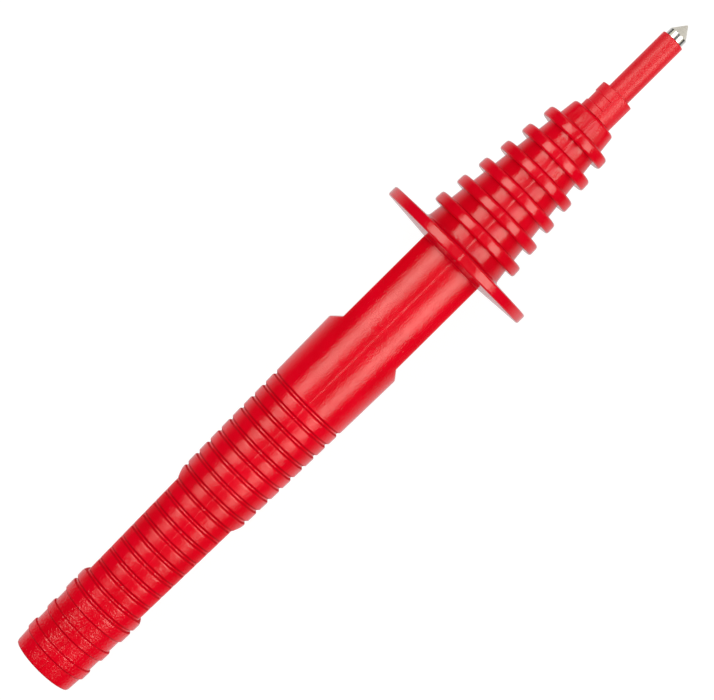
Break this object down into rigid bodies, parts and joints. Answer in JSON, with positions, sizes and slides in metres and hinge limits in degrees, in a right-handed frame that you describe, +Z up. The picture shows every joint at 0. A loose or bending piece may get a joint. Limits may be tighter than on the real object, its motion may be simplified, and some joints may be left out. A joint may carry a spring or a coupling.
{
  "type": "test probe",
  "caption": "Hand-held electrical test probe with a grooved tapered grip, flat-sided neck, round finger guard, ribbed insulating cone, pull-off tip sleeve and rear lead socket.",
  "frame": {"origin": "on the probe's axis, in the plane of the butt's end face", "axes": "+X along the axis towards the point, +Y square to the shallow neck flat and through the grip bands of the collar, +Z up as the probe lies on its side"},
  "size_m": [0.1753, 0.0354, 0.0354],
  "materials": {
    "red_plastic": "satin red moulded plastic with a fine grain",
    "nickel_plate": "bright nickel plate on brass",
    "natural_plastic": "undyed insulating plastic",
    "black_rubber": "smooth dull rubber",
    "spring_steel": "plain spring steel",
    "copper": "tinned copper strand",
    "red_silicone": "soft silicone insulation",
    "shrink_sleeve": "shrunk sleeve",
    "brass": "turned brass"
  },
  "bodies": {
    "probe": {"handle_shell": "red_plastic", "guard_cone": "red_plastic", "contact_pin": "nickel_plate", "pin_bush": "natural_plastic", "grip_ring": "black_rubber", "pin_retainer": "natural_plastic", "retaining_ring": "spring_steel", "spigot_seal": "black_rubber", "take_up_ring": "black_rubber", "liner_tube": "natural_plastic", "lead_core": "copper", "lead_insulation": "red_silicone", "solder_sleeves": "shrink_sleeve", "lead_spacers": "natural_plastic", "socket_insulator": "red_plastic", "socket_barrel": "nickel_plate", "socket_seal": "black_rubber", "socket_washer": "spring_steel", "socket_nut": "brass"},
    "sleeve": {"tip_sleeve": "red_plastic"}
  },
  "joints": [
    {"name": "sleeve_pull", "type": "slide", "parent": "probe", "child": "sleeve", "axis": [1, 0, 0], "range_m": [0, 0.0255]}
  ]
}
